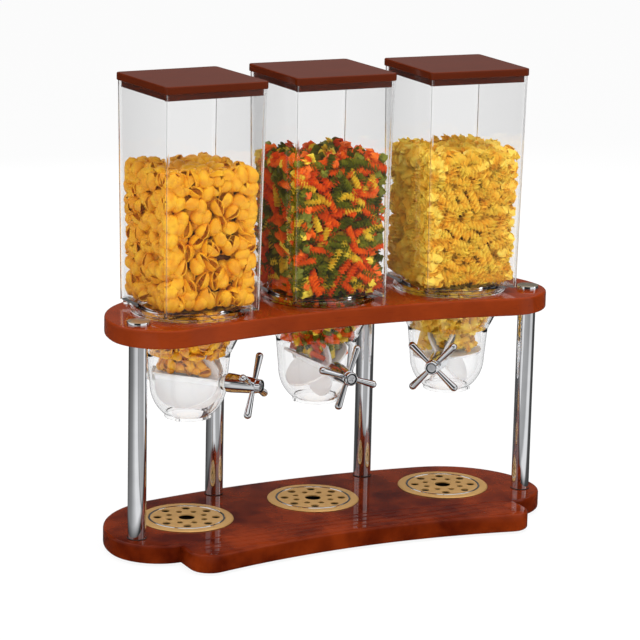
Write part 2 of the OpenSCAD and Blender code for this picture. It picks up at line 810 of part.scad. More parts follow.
module handle(u) {
    back_r = hub_back_d / 2;
    front_r = hub_front_d / 2;
    back_edge = 1;          // chamfer at the bell end
    back_length = 7;        // straight part at the bell end
    step = 0.8;             // step behind the spokes
    step_gap = 4.5;         // from the spokes' plane to that step
    front_edge = 0.8;       // chamfer at the front end
    color(chrome_grey)
        on_shaft(u)
            rotate([0, 0, spoke_turns[u]])
                difference() {
                    union() {
                        rotate_extrude()
                            polygon([[0, hub_back], [back_r - back_edge, hub_back],
                                [back_r, hub_back + back_edge], [back_r, hub_back + back_length],
                                [front_r + step, spoke_plane + step_gap],
                                [front_r, spoke_plane + step_gap + step],
                                [front_r, hub_front - front_edge],
                                [front_r - front_edge, hub_front], [0, hub_front]]);
                        for (k = [0:spoke_count - 1])
                            translate([0, 0, spoke_plane])
                                rotate([0, 0, k * 360 / spoke_count])
                                    spoke();
                    }
                    cylinder(h = hub_front, d = shaft_d + 2 * seat_play);
                    translate([0, 0, hub_recess_z])
                        cylinder(h = hub_recess + cut, r = front_r - hub_rim);
                }
}

// Cross-slotted screw that holds the handle on the end of the shaft
module handle_screw(u) {
    slot_turn = 30;
    slot_margin = 2;
    slot_width = 1.4;
    slot_depth = 1.2;
    color(chrome_grey)
        on_shaft(u)
            difference() {
                union() {
                    translate([0, 0, hub_recess_z])
                        cylinder(h = hub_screw_head, d = hub_screw_d);
                    translate([0, 0, shaft_front - hub_screw_reach])
                        cylinder(h = hub_screw_reach + shaft_short + hub_screw_head / 2,
                            d = hub_screw_shank_d);
                }
                for (turn = [0, 90])
                    rotate([0, 0, turn + slot_turn])
                        translate([0, 0, hub_recess_z + hub_screw_head])
                            cube([hub_screw_d - 2 * slot_margin, slot_width, 2 * slot_depth],
                                center = true);
            }
}

// ---- Hoppers and lids ----

// Square funnel with upright edges rounded, between two heights over the hopper's floor
module hopper_prism(inset, low, high) {
    lofted([for (z = [low, high])
        [for (p = square_outline(hopper_floor_half + hopper_lean * z - inset,
                                 hopper_edge_r - inset, 0)) [p.x, p.y, z]]]);
}

module hopper(u) {
    color(clear_plastic)
        translate([unit_spots[u].x, unit_spots[u].y, hopper_z])
            rotate([0, 0, hopper_turns[u]])
                difference() {
                    union() {
                        hopper_prism(0, 0, hopper_height);
                        translate([0, 0, -spigot_length])
                            cylinder(h = spigot_length + hopper_wall, r = spigot_r);
                    }
                    hopper_prism(hopper_wall, hopper_wall, hopper_height + cut);
                    translate([0, 0, -spigot_length - cut])
                        cylinder(h = spigot_length + hopper_wall + 2 * cut, r = spigot_r - spigot_wall);
                }
}

module lid(u) {
    plug_half = hopper_rim_half - hopper_wall - drop_in_play - hopper_lean * lid_plug_depth;
    color(lid_brown)
        translate([unit_spots[u].x, unit_spots[u].y, rim_top + stand_gap])
            rotate([0, 0, hopper_turns[u]]) {
                slab(lid_thickness, lid_edge_r,
                    function(inset) square_outline(lid_width / 2, lid_corner_r, inset));
                translate([0, 0, -lid_plug_depth])
                    linear_extrude(lid_plug_depth + lid_edge_r)
                        polygon(square_outline(plug_half, lid_plug_corner_r, 0));
            }
}

// ---- The pieces ----

base_board();
shelf_board();
post(post_spots[0]);  // front_left_post
post(post_spots[1]);  // front_right_post
post(post_spots[2]);  // back_left_post
post(post_spots[3]);  // back_right_post
post_plugs();
post_washers();
post_caps();
base_bolts();
feet();
bell_screws();
drip_cup(0);  // left_drip_cup
drip_cup(1);  // middle_drip_cup
drip_cup(2);  // right_drip_cup
strainer(0);  // left_strainer
strainer(1);  // middle_strainer
strainer(2);  // right_strainer
bell(0);  // left_bell
bell(1);  // middle_bell
bell(2);  // right_bell
front_bush(0);  // left_front_bush
front_bush(1);  // middle_front_bush
front_bush(2);  // right_front_bush
rear_bush(0);  // left_rear_bush
rear_bush(1);  // middle_rear_bush
rear_bush(2);  // right_rear_bush
paddle_wheel(0);  // left_paddle_wheel
paddle_wheel(1);  // middle_paddle_wheel
paddle_wheel(2);  // right_paddle_wheel
shaft(0);  // left_shaft
shaft(1);  // middle_shaft
shaft(2);  // right_shaft
handle(0);  // left_handle
handle(1);  // middle_handle
handle(2);  // right_handle
handle_screw(0);  // left_handle_screw
handle_screw(1);  // middle_handle_screw
handle_screw(2);  // right_handle_screw
hopper(0);  // left_hopper
hopper(1);  // middle_hopper
hopper(2);  // right_hopper
lid(0);  // left_lid
lid(1);  // middle_lid
lid(2);  // right_lid
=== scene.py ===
import math
import random

import bmesh
import bpy
from mathutils import Euler, Matrix, Vector
from mathutils.bvhtree import BVHTree


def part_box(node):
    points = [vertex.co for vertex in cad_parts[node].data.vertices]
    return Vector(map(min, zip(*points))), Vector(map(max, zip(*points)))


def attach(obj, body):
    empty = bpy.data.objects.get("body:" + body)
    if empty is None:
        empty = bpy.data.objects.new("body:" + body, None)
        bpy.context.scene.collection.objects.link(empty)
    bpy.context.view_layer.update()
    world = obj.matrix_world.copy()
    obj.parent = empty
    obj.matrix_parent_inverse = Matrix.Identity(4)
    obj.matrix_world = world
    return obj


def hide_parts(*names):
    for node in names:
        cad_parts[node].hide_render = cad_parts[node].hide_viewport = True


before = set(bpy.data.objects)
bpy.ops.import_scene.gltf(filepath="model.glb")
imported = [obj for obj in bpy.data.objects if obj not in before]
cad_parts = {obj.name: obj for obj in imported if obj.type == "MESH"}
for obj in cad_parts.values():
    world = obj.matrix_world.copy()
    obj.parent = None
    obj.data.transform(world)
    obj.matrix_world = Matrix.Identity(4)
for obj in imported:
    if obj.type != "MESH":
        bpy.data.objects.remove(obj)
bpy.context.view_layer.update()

# ---- Base board and shelf ----
# Two boards of solid beech, shaped on a router and rounded over, stained mahogany and
# sprayed with clear gloss lacquer. The stain lies a little uneven over the grain, which runs
# along the boards, and the lacquer mirrors the tubes that stand on it.
MM = 0.001
MERGE = 1e-6                 # metres; points closer than this are one
STAIN = "#82300C"
STAIN_DEEP_AND_GROOVE_SHADE = "#74290A"
PORE_AND_GROOVE_SHADE = "#420E03"      # pores, and the painted shade in the grooves
STAIN_CLOUD = 55 * MM        # size of the uneven patches of stain
PORE_WIDTH = 1.6 * MM        # real pores are 0.1 mm wide; drawn coarser so that they show
GRAIN_STRETCH = 0.08         # width of a pore as a share of its length
LACQUER_WAVE = 9 * MM        # spacing of the faint waves that a sprayed coat dries with
GROOVE_LEAST, GROOVE_DEEPEST = 0.6 * MM, 2.3 * MM        # depth under the board's top
GROOVE_LEVEL = 0.95          # upward part of the normal of a groove's floor
BOARD_SHARP = 38             # degrees; an edge that turns by more stays sharp


def linear(hex_colour):
    """An sRGB hex colour as a linear colour with full alpha."""
    parts = [int(hex_colour[k:k + 2], 16) / 255 for k in (1, 3, 5)]
    return [p / 12.92 if p <= 0.04045 else ((p + 0.055) / 1.055) ** 2.4 for p in parts] + [1]


def add_node(tree, kind, inputs, **settings):
    """Adds a node; each input takes a value, or another node's output to link."""
    node = tree.nodes.new(kind)
    for name, value in settings.items():
        setattr(node, name, value)
    for name, value in inputs.items():
        if isinstance(value, bpy.types.NodeSocket):
            tree.links.new(value, node.inputs[name])
        else:
            node.inputs[name].default_value = value
    return node


def new_finish(name, sockets):
    """A material by name, with constant values on its principled shader's sockets."""
    material = bpy.data.materials.new(name)
    material.use_nodes = True
    shader = material.node_tree.nodes["Principled BSDF"]
    for socket, value in sockets.items():
        shader.inputs[socket].default_value = value
    return material, material.node_tree, shader


def smooth_between(shape, sharp_degrees):
    """Shades faces smooth, and marks as sharp each edge that turns by more than an angle."""
    for face in shape.faces:
        face.smooth = True
    for edge in shape.edges:
        edge.smooth = edge.is_manifold and edge.calc_face_angle(0) < math.radians(sharp_degrees)


def refined(node, sharp_degrees):
    """A copy of a construction node's mesh, merged, with smooth faces between sharp edges."""
    shape = bmesh.new()
    shape.from_mesh(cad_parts[node].data)
    bmesh.ops.remove_doubles(shape, verts=shape.verts, dist=MERGE)
    smooth_between(shape, sharp_degrees)
    return shape


def place(name, shape, body, materials, replaced=()):
    """Makes the finished piece from a bmesh, in the frame's own coordinates."""
    mesh = bpy.data.meshes.new(name)
    shape.to_mesh(mesh)
    shape.free()
    piece = bpy.data.objects.new(name, mesh)
    bpy.context.scene.collection.objects.link(piece)
    for material in materials:
        mesh.materials.append(material)
    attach(piece, body)
    if replaced:
        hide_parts(*replaced)
    return piece


def level_faces(piece):
    """Lets large flat faces keep their own normal, so that narrow round-overs shade evenly."""
    weighted = piece.modifiers.new("Level faces", "WEIGHTED_NORMAL")
    weighted.keep_sharp = True


def lacquered_wood(name, main_tone, cloud_tone, pore_tone):
    """Stained beech under gloss lacquer: clouds and short dark pores under a thin mirror."""
    material, tree, shader = new_finish(name, {
        "Roughness": 0.5, "Specular IOR Level": 0.0,
        "Coat Weight": 1.0, "Coat Roughness": 0.04, "Coat IOR": 1.22})
    place_in = add_node(tree, "ShaderNodeTexCoord", {}).outputs["Object"]
    along = add_node(tree, "ShaderNodeMapping",
                     {"Vector": place_in, "Scale": (GRAIN_STRETCH, 1, 1)}).outputs[0]
    cloud = add_node(tree, "ShaderNodeTexNoise",
                     {"Vector": place_in, "Scale": 1 / STAIN_CLOUD, "Detail": 4}).outputs[0]
    cloudy = add_node(tree, "ShaderNodeMapRange",
                      {"Value": cloud, "From Min": 0.35, "From Max": 0.65}).outputs[0]
    stain = add_node(tree, "ShaderNodeMix",
                     {0: cloudy, 6: linear(main_tone), 7: linear(cloud_tone)},
                     data_type="RGBA").outputs[2]
    pore = add_node(tree, "ShaderNodeTexNoise",
                    {"Vector": along, "Scale": 1 / PORE_WIDTH, "Detail": 2}).outputs[0]
    pores = add_node(tree, "ShaderNodeMapRange",
                     {"Value": pore, "From Min": 0.56, "From Max": 0.8,
                      "To Max": 0.25}).outputs[0]
    grain = add_node(tree, "ShaderNodeMix", {0: pores, 6: stain, 7: linear(pore_tone)},
                     data_type="RGBA").outputs[2]
    tree.links.new(grain, shader.inputs["Base Color"])
    wave = add_node(tree, "ShaderNodeTexNoise",
                    {"Vector": place_in, "Scale": 1 / LACQUER_WAVE, "Detail": 1}).outputs[0]
    dried = add_node(tree, "ShaderNodeBump",
                     {"Height": wave, "Strength": 0.12, "Distance": 0.3 * MM}).outputs[0]
    tree.links.new(dried, shader.inputs["Coat Normal"])
    return material


def grooved_faces(shape):
    """The faces of shallow grooves: their floors, and what runs on from them up to an edge."""
    top = max(vert.co.z for vert in shape.verts)
    found = {face for face in shape.faces if face.normal.z > GROOVE_LEVEL
             and top - GROOVE_DEEPEST < face.calc_center_median().z < top - GROOVE_LEAST}
    waiting = list(found)
    while waiting:
        for edge in waiting.pop().edges:
            if edge.smooth:
                beside = set(edge.link_faces) - found
                found |= beside
                waiting += beside
    return found


wood = lacquered_wood("Mahogany lacquer", STAIN, STAIN_DEEP_AND_GROOVE_SHADE, PORE_AND_GROOVE_SHADE)
# The grooves' finish: deeper tones painted as the shade in them.
groove_shade_wood = lacquered_wood("Mahogany lacquer with painted groove shade", STAIN_DEEP_AND_GROOVE_SHADE, PORE_AND_GROOVE_SHADE, PORE_AND_GROOVE_SHADE)
for board in ("base_board", "shelf_board"):
    shape = refined(board, BOARD_SHARP)
    # Groove faces take the finish with the painted shade.
    for face in grooved_faces(shape):
        face.material_index = 1
    level_faces(place(board + "_lacquered", shape, "stand", [wood, groove_shade_wood],
                      [board]))

# ---- Feet and washers ----
# Black rubber feet, glued under the base board, and a thin black washer under each tube,
# punched from sheet. Both are matt and a little dusty.
RUBBER = "#161616"
RUBBER_DUST = "#2C2B2A"
DUST_PATCH = 4 * MM


def finish_nodes(nodes, material):
    """Gives construction nodes that are shown as they are a finish of the scene's."""
    for node in nodes:
        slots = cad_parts[node].data.materials
        slots.clear()
        slots.append(material)


def black_rubber():
    """Moulded rubber: nearly black and matt, and paler where dust lies on it."""
    material, tree, shader = new_finish("Moulded black rubber", {
        "Roughness": 0.75, "Specular IOR Level": 0.3})
    place_in = add_node(tree, "ShaderNodeTexCoord", {}).outputs["Object"]
    patch = add_node(tree, "ShaderNodeTexNoise",
                     {"Vector": place_in, "Scale": 1 / DUST_PATCH, "Detail": 5}).outputs[0]
    dust = add_node(tree, "ShaderNodeMix",
                    {0: patch, 6: linear(RUBBER), 7: linear(RUBBER_DUST)},
                    data_type="RGBA").outputs[2]
    tree.links.new(dust, shader.inputs["Base Color"])
    return material


finish_nodes(["feet", "post_washers"], black_rubber())

# ---- Posts ----
# Drawn steel tube with polished chrome plate, bolted between the boards through plugs.
# Chrome mirrors the white room, the dark panels beside it and the red boards.
CHROME = "#E2E3E5"
CHROME_WORN = "#D2D3D6"
POLISH_PATCH = 18 * MM       # size of the faint smears that wiping leaves
POSTS = ("front_left_post", "front_right_post", "back_left_post", "back_right_post")


def chrome_plate(name, roughness):
    """Plated metal: a light grey mirror, clearer and duller by turns where it was wiped."""
    material, tree, shader = new_finish(name, {"Metallic": 1.0})
    place_in = add_node(tree, "ShaderNodeTexCoord", {}).outputs["Object"]
    smear = add_node(tree, "ShaderNodeTexNoise",
                     {"Vector": place_in, "Scale": 1 / POLISH_PATCH, "Detail": 3}).outputs[0]
    tint = add_node(tree, "ShaderNodeMix", {0: smear, 6: linear(CHROME), 7: linear(CHROME_WORN)},
                    data_type="RGBA").outputs[2]
    rough = add_node(tree, "ShaderNodeMapRange",
                     {"Value": smear, "To Min": roughness * 0.6,
                      "To Max": roughness * 1.4}).outputs[0]
    tree.links.new(tint, shader.inputs["Base Color"])
    tree.links.new(rough, shader.inputs["Roughness"])
    return material


chrome = chrome_plate("Polished chrome plate", roughness=0.05)
plain_steel = chrome_plate("Plain bright steel", roughness=0.28)
finish_nodes(POSTS, chrome)
finish_nodes(["post_plugs", "base_bolts", "bell_screws"], plain_steel)

# ---- Post caps ----
# Turned steel caps over the posts, chromed, with the fine rings of the facing cut left on
# their tops. Their studs pass down through the shelf into the posts. The tops are warmer and
# darker than the plate: partly the cut steel's own tone, partly a painted reflection of the
# pasta.
CAP_R = 15.5 * MM
CAP_HEIGHT = 5 * MM
CAP_EDGE = 0.6 * MM
EDGE_MIDDLE = 0.3            # how far in the middle of a rounded edge lies, as a share of it
STUD_R = 4 * MM
FACING_FEED = 0.9 * MM       # a real cut is 0.1 mm; drawn coarser so that it shows
TURNED_STEPS = 96            # faces round a cap
TURNED_LEVEL = 0.9           # faces whose normals rise more than this carry the rings and the painted warm tone
TURNED_TOP_PAINTED_REFLECTION = "#C9BDA6"     # the cut face's own warmer tone, with a painted reflection of the yellow pasta beside the caps
CAP_SHARP = 30


def spun(profile):
    """Turns profile points (radius, height) once about the Z axis."""
    shape = bmesh.new()
    points = [shape.verts.new((r, 0, z)) for r, z in profile]
    edges = [shape.edges.new(pair) for pair in zip(points, points[1:])]
    bmesh.ops.spin(shape, geom=points + edges, cent=(0, 0, 0), axis=(0, 0, 1),
                   angle=2 * math.pi, steps=TURNED_STEPS, use_merge=True)
    bmesh.ops.remove_doubles(shape, verts=shape.verts, dist=MERGE)
    bmesh.ops.recalc_face_normals(shape, faces=shape.faces)
    return shape


def shaded(hex_colour, share):
    """An sRGB hex colour as a linear colour at a share of its brightness."""
    return [share * part for part in linear(hex_colour)[:3]] + [1]


def turned_metal(name, colour, centre, feed, roughness, ring_depth, metallic):
    """A metal faced on a lathe, with fine rings round an upright axis at a place."""
    material, tree, shader = new_finish(name, {"Metallic": metallic, "Roughness": roughness})
    place_in = add_node(tree, "ShaderNodeTexCoord", {}).outputs["Object"]
    centred = add_node(tree, "ShaderNodeMapping",
                       {"Vector": place_in, "Location": (-centre[0], -centre[1], 0),
                        "Scale": (1, 1, 0)}).outputs[0]
    # At a scale of 1 a wave texture makes a ring every pi / 10.
    rings = add_node(tree, "ShaderNodeTexWave",
                     {"Vector": centred, "Scale": math.pi / (10 * feed),
                      "Distortion": 0.6, "Detail": 2, "Detail Scale": 3},
                     wave_type="RINGS", rings_direction="Z").outputs["Fac"]
    tint = add_node(tree, "ShaderNodeMix",
                    {0: rings, 6: linear(colour), 7: shaded(colour, 0.86)},
                    data_type="RGBA").outputs[2]
    cut = add_node(tree, "ShaderNodeBump",
                   {"Height": rings, "Strength": 0.35, "Distance": ring_depth}).outputs[0]
    tree.links.new(tint, shader.inputs["Base Color"])
    tree.links.new(cut, shader.inputs["Normal"])
    return material


cap_finishes = []
caps = bmesh.new()
stud_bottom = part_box("post_caps")[0].z
shelf_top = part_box("shelf_board")[1].z
for post in POSTS:
    low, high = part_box(post)
    centre = (low + high) / 2
    cap = spun([(0, stud_bottom), (STUD_R, stud_bottom), (STUD_R, shelf_top), (CAP_R, shelf_top),
                (CAP_R, shelf_top + CAP_HEIGHT - CAP_EDGE),
                (CAP_R - CAP_EDGE * EDGE_MIDDLE, shelf_top + CAP_HEIGHT - CAP_EDGE * EDGE_MIDDLE),
                (CAP_R - CAP_EDGE, shelf_top + CAP_HEIGHT), (0, shelf_top + CAP_HEIGHT)])
    cap.transform(Matrix.Translation((centre.x, centre.y, 0)))
    for face in cap.faces:
        face.material_index = 1 + len(cap_finishes) if face.normal.z > TURNED_LEVEL else 0
    smooth_between(cap, CAP_SHARP)
    turned = bpy.data.meshes.new("cap")
    cap.to_mesh(turned)
    cap.free()
    caps.from_mesh(turned)
    # The top's finish: turned rings, in a tone partly the cut steel's own and partly painted
    # reflection.
    cap_finishes.append(turned_metal("Turned cap " + post, TURNED_TOP_PAINTED_REFLECTION, centre, FACING_FEED,
                                     roughness=0.3, ring_depth=0.02 * MM, metallic=0.9))
place("turned_caps", caps, "stand", [chrome] + cap_finishes, ["post_caps"])

# ---- Drip cups and strainer discs ----
# Spun steel cups that drop into the base board, each with a loose punched disc. Flange and
# disc are brushed in circles and plated brass, and the disc's rim is plated bright. The cup's
# inside is painted nearly black, as the shade in it.
BRASS = "#DEAE6A"
BRUSHING = 1.1 * MM          # real brushing is 0.1 mm; drawn coarser so that it shows
CUP_SHADE = "#14110E"
CUP_PATCH = 6 * MM           # size of the patches inside a cup
RIM_DEPTH = 0.5 * MM         # faces this close under a disc's top are its bright rim
FLANGE_DEPTH = 1.2 * MM      # faces this close under a cup's top are its brass flange
CUP_SHARP = 30
SIDES = ("left", "middle", "right")
unit_centres = {}


def cup_shade_finish():
    """The inside of a cup, painted nearly black as its shade: matt, with darker and paler
    patches.
    """
    material, tree, shader = new_finish("Cup inside painted dark as shade", {
        "Roughness": 0.7, "Specular IOR Level": 0.3})
    place_in = add_node(tree, "ShaderNodeTexCoord", {}).outputs["Object"]
    stain = add_node(tree, "ShaderNodeTexNoise",
                     {"Vector": place_in, "Scale": 1 / CUP_PATCH, "Detail": 4}).outputs[0]
    # painted shade, darker and paler in patches
    dull = add_node(tree, "ShaderNodeMix",
                    {0: stain, 6: linear(CUP_SHADE), 7: shaded(CUP_SHADE, 1.6)},
                    data_type="RGBA").outputs[2]
    tree.links.new(dull, shader.inputs["Base Color"])
    return material


cup_shade = cup_shade_finish()
for side in SIDES:
    low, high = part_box(side + "_drip_cup")
    unit_centres[side] = (low + high) / 2
    brass = turned_metal("Brushed brass plate " + side, BRASS, unit_centres[side], BRUSHING,
                         roughness=0.4, ring_depth=0.05 * MM, metallic=0.55)
    disc = refined(side + "_strainer", CUP_SHARP)
    rim_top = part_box(side + "_strainer")[1].z
    for face in disc.faces:
        face.material_index = 1 if face.calc_center_median().z > rim_top - RIM_DEPTH else 0
    place(side + "_punched_disc", disc, side + "_strainer", [brass, chrome],
          [side + "_strainer"])
    cup = refined(side + "_drip_cup", CUP_SHARP)
    # Below the flange, the cup takes the painted shade.
    for face in cup.faces:
        face.material_index = 0 if face.calc_center_median().z > high.z - FLANGE_DEPTH else 1
    place(side + "_brushed_cup", cup, "stand", [brass, cup_shade],
          [side + "_drip_cup"])

# ---- Bells ----
# Clear plastic bells, injection moulded and polished, that hang from the shelf by a flange.
# Each has a collar for the hopper above, a round bowl for the wheel, a short outlet below
# and a boss in front and behind for the shaft's bushes.
CLEAR_IOR = 1.49
CLEAR_TINT = "#F9F9F9"
CLEAR_PASS = "#FCFCFC"       # what one face of the wall lets through of the lamps' light
SCUFF = 30 * MM              # size of the patches that wiping has dulled
BELL_SHARP = 40


def clear_plastic():
    """Clear plastic that lets the lamps' light through to what is behind it."""
    material, tree, shader = new_finish("Polished clear acrylic", {
        "Base Color": linear(CLEAR_TINT), "Transmission Weight": 1.0, "IOR": CLEAR_IOR})
    place_in = add_node(tree, "ShaderNodeTexCoord", {}).outputs["Object"]
    scuff = add_node(tree, "ShaderNodeTexNoise",
                     {"Vector": place_in, "Scale": 1 / SCUFF, "Detail": 4}).outputs[0]
    rough = add_node(tree, "ShaderNodeMapRange",
                     {"Value": scuff, "From Min": 0.5, "From Max": 0.8, "To Min": 0.0,
                      "To Max": 0.03}).outputs[0]
    tree.links.new(rough, shader.inputs["Roughness"])
    rays = add_node(tree, "ShaderNodeLightPath", {})
    lit = add_node(tree, "ShaderNodeMath",
                   {0: rays.outputs["Is Shadow Ray"], 1: rays.outputs["Is Diffuse Ray"]},
                   operation="MAXIMUM").outputs[0]
    passing = add_node(tree, "ShaderNodeBsdfTransparent", {"Color": linear(CLEAR_PASS)})
    wall = add_node(tree, "ShaderNodeMixShader",
                    {0: lit, 1: shader.outputs[0], 2: passing.outputs[0]})
    tree.links.new(wall.outputs[0], tree.nodes["Material Output"].inputs["Surface"])
    return material


acrylic = clear_plastic()
for side in SIDES:
    bell = refined(side + "_bell", BELL_SHARP)
    place(side + "_clear_bell", bell, "stand", [acrylic], [side + "_bell"])

# ---- Paddle wheels, shafts and bushes ----
# White food-grade silicone wheels on plain steel shafts, in flanged bushes of white
# moulded plastic. Silicone is matt and lets a little light into its surface.
SILICONE = "#FFFFFF"
NYLON = "#EDECE8"
SKIN_GRAIN = 2.5 * MM        # real grain is 0.1 mm; drawn coarser so that it shows


def soft_white(name, colour, roughness, depth):
    """Moulded silicone or nylon: a soft sheen, and edges that glow a little."""
    material, tree, shader = new_finish(name, {
        "Roughness": roughness, "Specular IOR Level": 0.4,
        "Subsurface Weight": 0.3, "Subsurface Radius": (1, 0.9, 0.8),
        "Subsurface Scale": depth})
    place_in = add_node(tree, "ShaderNodeTexCoord", {}).outputs["Object"]
    grain = add_node(tree, "ShaderNodeTexNoise",
                     {"Vector": place_in, "Scale": 1 / SKIN_GRAIN, "Detail": 3}).outputs[0]
    shade = add_node(tree, "ShaderNodeMix",
                     {0: grain, 6: linear(colour), 7: shaded(colour, 0.94)},
                     data_type="RGBA").outputs[2]
    skin = add_node(tree, "ShaderNodeBump",
                    {"Height": grain, "Strength": 0.15, "Distance": 0.1 * MM}).outputs[0]
    tree.links.new(shade, shader.inputs["Base Color"])
    tree.links.new(skin, shader.inputs["Normal"])
    return material


silicone = soft_white("Moulded white silicone", SILICONE, roughness=0.5, depth=2 * MM)
nylon = soft_white("Moulded white nylon", NYLON, roughness=0.4, depth=1 * MM)
finish_nodes([side + "_paddle_wheel" for side in SIDES], silicone)
finish_nodes([side + end for side in SIDES for end in ("_front_bush", "_rear_bush")], nylon)
finish_nodes([side + "_shaft" for side in SIDES], plain_steel)

# ---- Handles ----
# Cross handles, die cast in zinc, polished and chromed, each held on its shaft by a slotted
# steel screw in the recess of its hub. The recess is painted dark grey, as the shade in it.
HUB_FRONT = 108.2 * MM       # from the bell's axis, along the shaft
HUB_RECESS = 5 * MM
HUB_R = 8 * MM
RECESS_LIP = 0.2 * MM        # faces this close to the hub's front aren't in the recess
FACING_OUT = 0.9             # outward part of the normal of the recess's floor
RECESS_SHADE = "#1E1D1C"
RECESS_GRAIN = 0.8 * MM
HANDLE_SHARP = 35
cast_chrome = chrome_plate("Chromed die casting", roughness=0.04)
dull_steel = chrome_plate("Dull zinc plated steel", roughness=0.4)


def recess_shade_finish():
    """The hub's recess, painted dark grey as the shade in it, and grainy."""
    material, tree, shader = new_finish("Hub recess painted dark as shade", {
        "Metallic": 0.6, "Roughness": 0.6})
    place_in = add_node(tree, "ShaderNodeTexCoord", {}).outputs["Object"]
    grain = add_node(tree, "ShaderNodeTexNoise",
                     {"Vector": place_in, "Scale": 1 / RECESS_GRAIN, "Detail": 3}).outputs[0]
    # painted shade, a little grainy
    grey = add_node(tree, "ShaderNodeMix",
                    {0: grain, 6: linear(RECESS_SHADE), 7: shaded(RECESS_SHADE, 1.8)},
                    data_type="RGBA").outputs[2]
    tree.links.new(grey, shader.inputs["Base Color"])
    return material


recess_shade = recess_shade_finish()
for side in SIDES:
    low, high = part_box(side + "_shaft")
    shaft_middle = (low + high) / 2
    low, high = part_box(side + "_handle")
    along = (low + high) / 2 - unit_centres[side]
    along = Vector((along.x, along.y, 0)).normalized()
    handle = refined(side + "_handle", HANDLE_SHARP)
    # Faces in the hub's recess take the painted shade.
    for face in handle.faces:
        out = face.calc_center_median() - unit_centres[side]
        out.z = face.calc_center_median().z - shaft_middle.z
        reach = out.dot(along)
        inward = face.normal.dot(out - reach * along) < 0 or face.normal.dot(along) > FACING_OUT
        in_recess = HUB_FRONT - HUB_RECESS < reach < HUB_FRONT - RECESS_LIP and inward
        face.material_index = 1 if in_recess and (out - reach * along).length < HUB_R else 0
    place(side + "_cross_handle", handle, side + "_rotor",
          [cast_chrome, recess_shade], [side + "_handle"])
finish_nodes([side + "_handle_screw" for side in SIDES], dull_steel)

# ---- Hoppers ----
# Clear moulded hoppers, square with rounded edges and a slight taper, that stand on the
# bells' collars. A round spigot under the floor keeps each one in its place.
HOPPER_TURNS = {"left": 2.7, "middle": 0.0, "right": -2.7}       # degrees about the vertical
WALL_LEAST = 200 * MM * MM   # faces of the four flat walls are larger than this
WALL_SQUARE = 0.999          # and look this straight out to one side
HOPPER_SHARP = 40
WALL_TINT = "#FBFBFB"
WALL_MIRROR = 0.015          # share that a wall mirrors when it is looked at squarely
GLANCE_POWER = 5.0           # how late a wall turns into a mirror as the look gets flatter


def clear_wall():
    """A thin even wall, which bends nothing and mirrors more the flatter it is looked at."""
    material, tree, shader = new_finish("Clear acrylic wall", {
        "Metallic": 1.0, "Base Color": (1, 1, 1, 1)})
    place_in = add_node(tree, "ShaderNodeTexCoord", {}).outputs["Object"]
    scuff = add_node(tree, "ShaderNodeTexNoise",
                     {"Vector": place_in, "Scale": 1 / SCUFF, "Detail": 4}).outputs[0]
    rough = add_node(tree, "ShaderNodeMapRange",
                     {"Value": scuff, "From Min": 0.4, "From Max": 0.8, "To Min": 0.02,
                      "To Max": 0.1}).outputs[0]
    tree.links.new(rough, shader.inputs["Roughness"])
    facing = add_node(tree, "ShaderNodeLayerWeight", {"Blend": 0.5}).outputs["Facing"]
    steep = add_node(tree, "ShaderNodeMath", {0: facing, 1: GLANCE_POWER},
                     operation="POWER").outputs[0]
    glance = add_node(tree, "ShaderNodeMapRange", {"Value": steep, "To Min": WALL_MIRROR})
    passing = add_node(tree, "ShaderNodeBsdfTransparent", {"Color": linear(WALL_TINT)})
    wall = add_node(tree, "ShaderNodeMixShader",
                    {0: glance.outputs[0], 1: passing.outputs[0], 2: shader.outputs[0]})
    tree.links.new(wall.outputs[0], tree.nodes["Material Output"].inputs["Surface"])
    return material


# From the side, sight passes the twelve faces of six clear walls one behind another.
bpy.context.scene.cycles.transparent_max_bounces = 32
thin_acrylic = clear_wall()
for side in SIDES:
    hopper = refined(side + "_hopper", HOPPER_SHARP)
    square_up = Matrix.Rotation(math.radians(-HOPPER_TURNS[side]), 3, "Z")
    for face in hopper.faces:
        squared = square_up @ face.normal
        flat = max(abs(squared.x), abs(squared.y)) > WALL_SQUARE
        face.material_index = 1 if flat and face.calc_area() > WALL_LEAST else 0
    place(side + "_clear_hopper", hopper, side + "_hopper",
          [acrylic, thin_acrylic], [side + "_hopper"])

# ---- Pasta shells ----
# The dry food in the left dispenser: small smooth pasta shells, pressed from dough, slit
# along one side and dried hard. They lie loose in the hopper, the throat and the wheel.
SHELL_LONG = 26 * MM
SHELL_WIDE = 20 * MM
SHELL_WALL = 1.3 * MM
SHELL_SIDES, SHELL_BANDS = 7, 5      # faces round a shell, and along it
SHELL_TAPER = 0.3            # how much narrower the tail is, and wider the head
SLIT_SLOPE = 2.5             # the slit takes faces that lie this much more forward than sideways
SLIT_SHOWN = 0.45            # share of the outer shells that turn their slit outwards
SHELL_SHARP = 60
SHELL_PITCH = 19.5 * MM      # from one shell to the next
SHELL_TOP = 512 * MM         # height of the filling at the hopper's walls
HOPPER_FLOOR_HALF = 67.6 * MM        # half the width inside a hopper, at its floor
HOPPER_RIM_HALF = 71.5 * MM          # and at its rim
SPIGOT_AND_FLOOR = 22 * MM           # from the spigot's lower end up to the floor's inside
HEAP_CROWN = 9 * MM          # how far the filling stands higher in the middle
CROWN_BEND = 0.7             # under 1 it rises fastest at the walls
HEAP_PLAY = 0.4 * MM         # gap to the clear walls
CORE_INSET = 19 * MM         # how far inside the walls the middle block, painted dark as shade, starts
